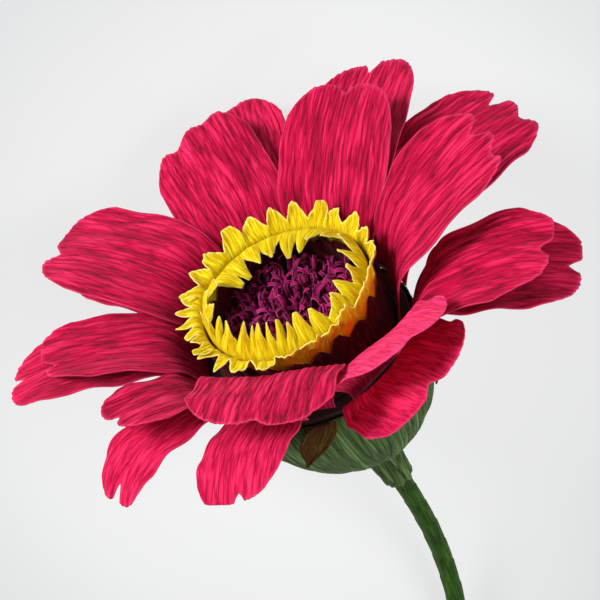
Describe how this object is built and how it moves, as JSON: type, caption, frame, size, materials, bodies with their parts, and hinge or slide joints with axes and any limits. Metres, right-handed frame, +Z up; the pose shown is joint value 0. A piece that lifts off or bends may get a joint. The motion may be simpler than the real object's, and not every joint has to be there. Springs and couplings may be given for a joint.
{
  "type": "paper flower",
  "caption": "Daisy-like crepe paper flower: crimson petals in overlapping rows, a toothed yellow ring round a dark middle, a green calyx and a wrapped wire stem.",
  "frame": {"origin": "on the floor, under the middle of the flower's box as it lies", "axes": "+Z up from the floor; +Y from the stem's cut end towards the bloom; +X across, to the right seen from the stem's end"},
  "size_m": [0.108, 0.183, 0.0833],
  "materials": {
    "crimson_crepe": "matt crimson crepe paper with fine ridges along the grain",
    "yellow_crepe": "matt yellow crepe paper, stained orange low on the outer strip",
    "maroon_crepe": "matt dark maroon crepe paper",
    "purple_crepe": "matt dark purple crepe paper, curled and fringed",
    "green_crepe": "matt dark green crepe paper, gathered",
    "brown_crepe": "matt brown and olive crepe paper",
    "stem_paper": "slightly waxy green paper tape, wound on",
    "core_paper": "pressed dark paper",
    "florist_wire": "bare steel wire"
  },
  "bodies": {
    "root": {"calyx_cup": "green_crepe", "centre_roll": "purple_crepe", "drum_lining": "maroon_crepe", "drum_wrap": "maroon_crepe", "florets_inner": "yellow_crepe", "florets_outer": "yellow_crepe", "flower_core": "core_paper", "petal_inner_botleft": "crimson_crepe", "petal_inner_bottom": "crimson_crepe", "petal_inner_front": "crimson_crepe", "petal_inner_left": "crimson_crepe", "petal_inner_lowleft": "crimson_crepe", "petal_inner_right": "crimson_crepe", "petal_inner_rightlow": "crimson_crepe", "petal_inner_top": "crimson_crepe", "petal_inner_upleft": "crimson_crepe", "petal_outer_botleft": "crimson_crepe", "petal_outer_bottom": "crimson_crepe", "petal_outer_front": "crimson_crepe", "petal_outer_left": "crimson_crepe", "petal_outer_lowleft": "crimson_crepe", "petal_outer_right": "crimson_crepe", "petal_outer_rightlow": "crimson_crepe", "petal_outer_top": "crimson_crepe", "petal_outer_upleft": "crimson_crepe", "sepal_1": "brown_crepe", "sepal_2": "brown_crepe", "sepal_3": "brown_crepe", "sepal_4": "brown_crepe", "sepal_5": "brown_crepe", "stem_collar": "green_crepe", "stem_wire": "florist_wire", "stem_wrap": "stem_paper"}
  },
  "joints": []
}
